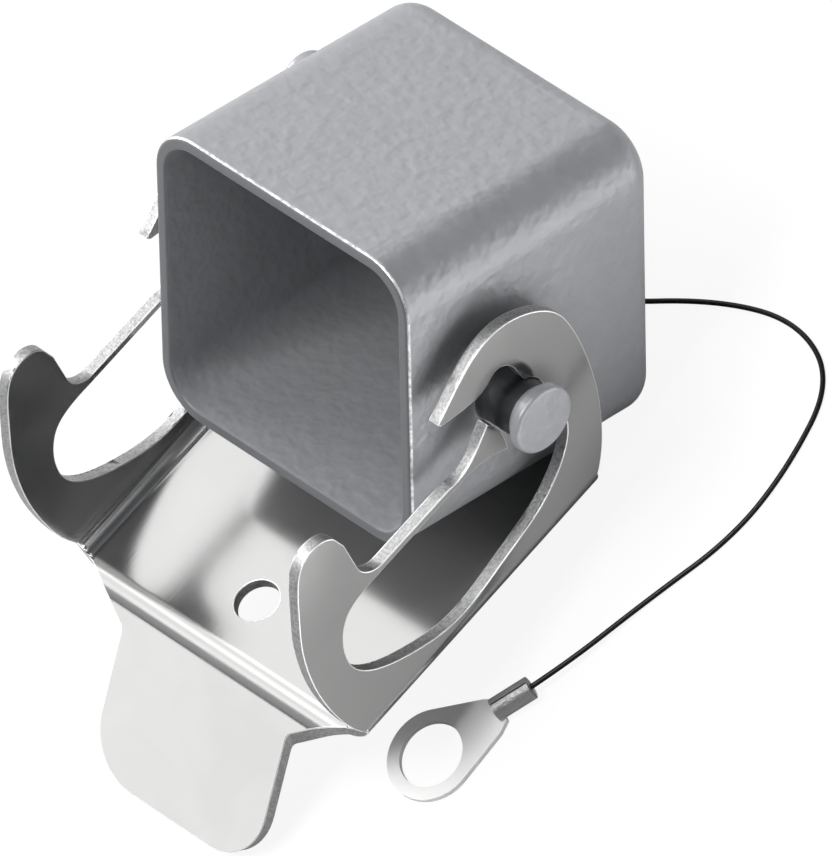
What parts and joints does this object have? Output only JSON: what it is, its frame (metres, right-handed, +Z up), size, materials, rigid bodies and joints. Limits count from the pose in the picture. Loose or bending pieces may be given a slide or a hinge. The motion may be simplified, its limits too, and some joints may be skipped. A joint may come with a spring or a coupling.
{
  "type": "connector dust cap",
  "caption": "Square cast dust cap for a rectangular connector, with a folded steel locking lever on side pegs and a thin tether cord ending in a crimped ring terminal.",
  "frame": {"origin": "centre of the footprint of the cap and its lever, on the table", "axes": "+Z up from the table, -Y towards the lever's tab, +X to the right of someone who looks at the open mouth from the tab's side; the mouth faces -Y and up"},
  "size_m": [0.0443, 0.0599, 0.0341],
  "materials": {
    "grey_paint": "textured grey paint over a die casting",
    "lever_steel": "satin sheet steel with sheared edges",
    "ferrule_metal": "plain metal",
    "cord_sheath": "black plastic sheath",
    "terminal_tin": "tinned, stamped"
  },
  "bodies": {
    "cap": {"cap_body": "grey_paint", "cord_ferrule": "ferrule_metal", "tether_cord": "cord_sheath", "ring_terminal": "terminal_tin"},
    "lever": {"locking_lever": "lever_steel"}
  },
  "joints": [
    {"name": "lever_swing", "type": "hinge", "parent": "cap", "child": "lever", "pos_m": [0, 0.00856, 0.01737], "axis": [1, 0, 0], "range_deg": [-44, 0.5]}
  ]
}
